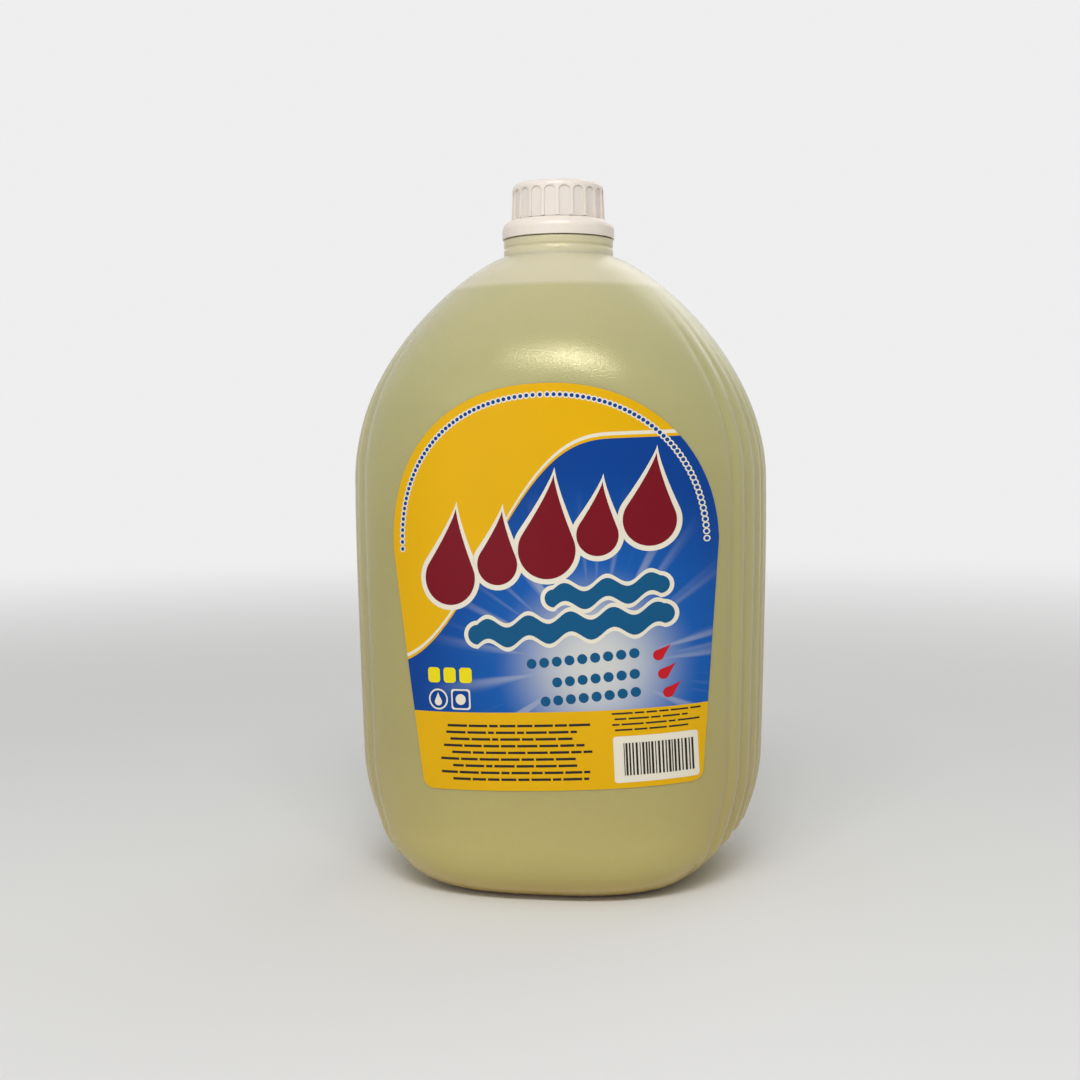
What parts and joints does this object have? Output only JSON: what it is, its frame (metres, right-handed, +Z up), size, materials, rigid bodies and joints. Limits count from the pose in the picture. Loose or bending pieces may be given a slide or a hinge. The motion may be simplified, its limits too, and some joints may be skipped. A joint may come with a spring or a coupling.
{
  "type": "bleach bottle",
  "caption": "Large translucent oval bottle of bleach with fluted sides, an arched front label and a ribbed screw cap.",
  "frame": {"origin": "centre of the foot, on the surface that the bottle stands on", "axes": "+Z up along the neck; the label faces -Y; X runs across the wide front"},
  "size_m": [0.1822, 0.1463, 0.3022],
  "materials": {
    "bottle": "translucent natural polyethylene, satin, faint grain",
    "label": "glossy printed film",
    "liquid": "clear pale yellow-green liquid",
    "closure": "white injection-moulded plastic, satin",
    "liner": "white foam"
  },
  "bodies": {
    "bottle": {"bottle_body": "bottle", "front_label": "label", "bleach_liquid": "liquid", "tamper_band": "closure"},
    "liner": {"seal_liner": "liner"},
    "cap": {"screw_cap": "closure"}
  },
  "joints": [
    {"name": "cap_rise", "type": "slide", "parent": "bottle", "child": "liner", "axis": [0, 0, 1], "range_m": [0, 0.0063]},
    {"name": "cap_turn", "type": "hinge", "parent": "liner", "child": "cap", "pos_m": [0, 0, 0.29], "axis": [0, 0, 1], "range_deg": [0, 540]}
  ],
  "couplings": [
    {"joint": "cap_rise", "follows": "cap_turn", "m_per_rad": 0.00066845}
  ]
}
